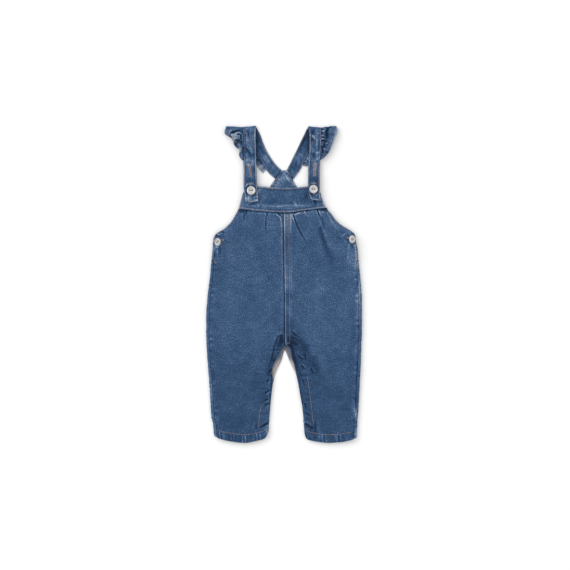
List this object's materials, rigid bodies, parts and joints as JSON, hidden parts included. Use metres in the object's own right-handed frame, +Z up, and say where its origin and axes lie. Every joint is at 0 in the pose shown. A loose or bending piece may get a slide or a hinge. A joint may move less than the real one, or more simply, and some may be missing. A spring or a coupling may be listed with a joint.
{
  "type": "baby denim dungarees with frilled straps, laid flat",
  "caption": "Baby's denim bib dungarees laid flat on their back: straps with gathered frills buttoned to the bib, buttoned side openings, long legs.",
  "frame": {"origin": "middle of the garment's outline on the surface it lies on", "axes": "+Y from the hems to the shoulders, +X to the right as seen from above, +Z up away from the surface, out of the garment's front"},
  "size_m": [0.2562, 0.5222, 0.017],
  "materials": {
    "denim": "washed mid-blue denim twill",
    "button": "pearly white",
    "thread": "tan topstitching thread"
  },
  "bodies": {
    "root": {"front_left": "denim", "front_right": "denim", "back_left": "denim", "back_right": "denim", "back_peak": "denim", "bib": "denim", "strap_left": "denim", "strap_right": "denim", "frill_left": "denim", "frill_right": "denim", "strap_button_left": "button", "strap_button_right": "button", "side_button_left": "button", "side_button_right": "button"}
  },
  "joints": []
}
